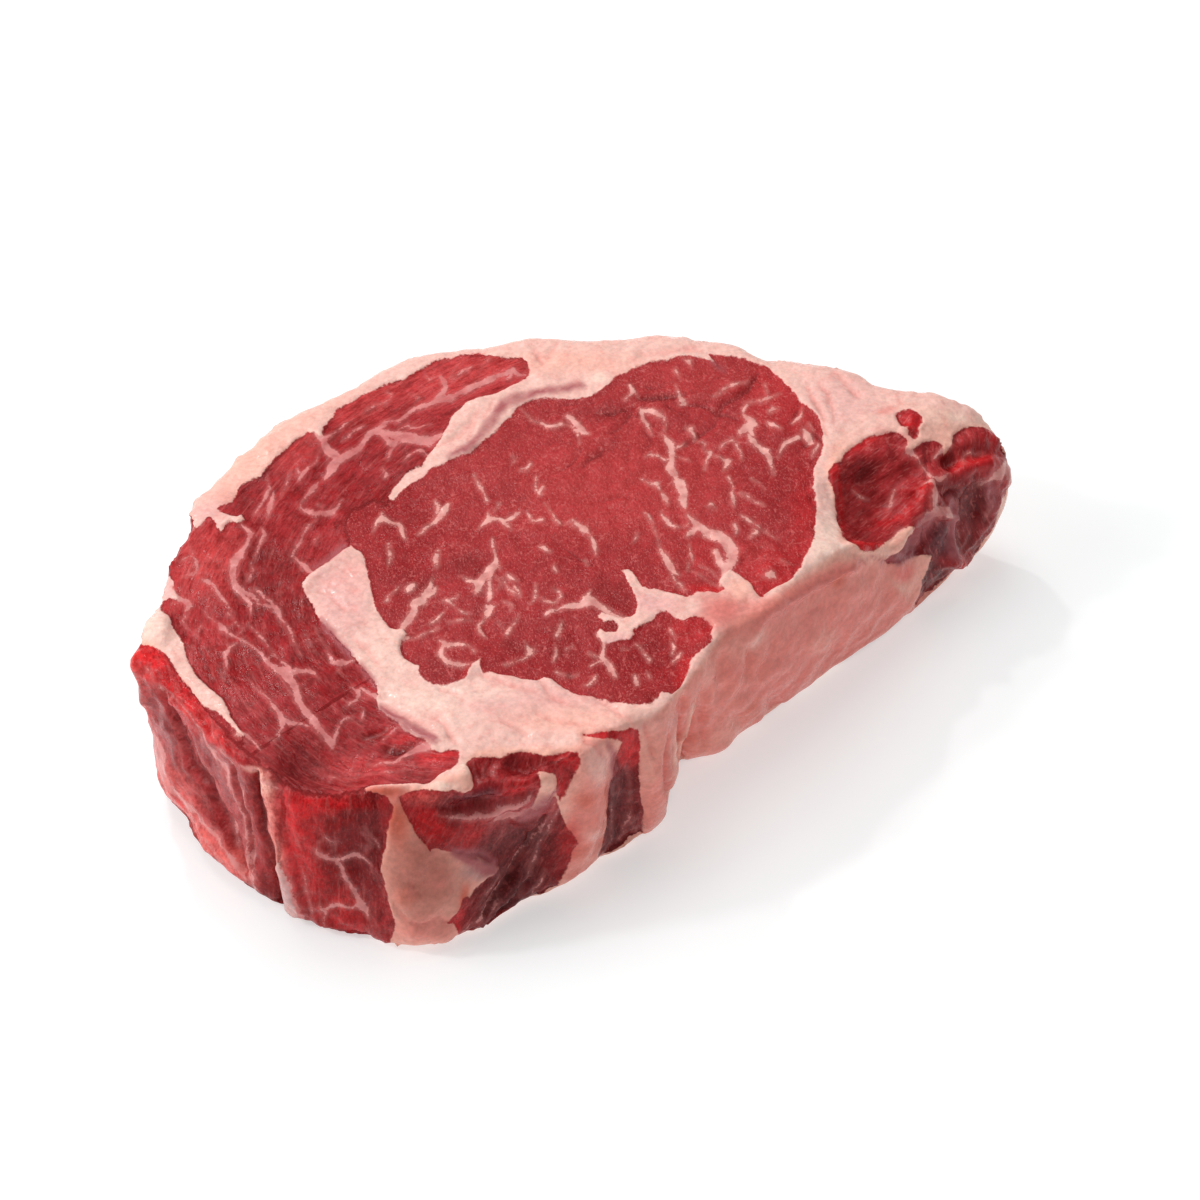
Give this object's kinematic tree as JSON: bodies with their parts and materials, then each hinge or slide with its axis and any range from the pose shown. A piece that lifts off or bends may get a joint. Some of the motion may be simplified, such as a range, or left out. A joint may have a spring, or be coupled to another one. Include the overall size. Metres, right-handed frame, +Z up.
{
  "type": "raw ribeye steak",
  "caption": "Thick raw boneless ribeye steak: a marbled eye of meat, its curved cap and seams of white fat, cut straight across and lying flat on its cut face.",
  "frame": {"origin": "centre of the bounding box in plan, on the flat underside that the steak lies on", "axes": "+X along the steak's length towards its thin tail, +Y across it towards the cap's outer fat, +Z up out of the cut face"},
  "size_m": [0.1884, 0.1224, 0.0397],
  "materials": {
    "steak": "moist raw beef, red muscle with creamy white fat and a soft sheen"
  },
  "bodies": {
    "root": {"steak": "steak"}
  },
  "joints": []
}
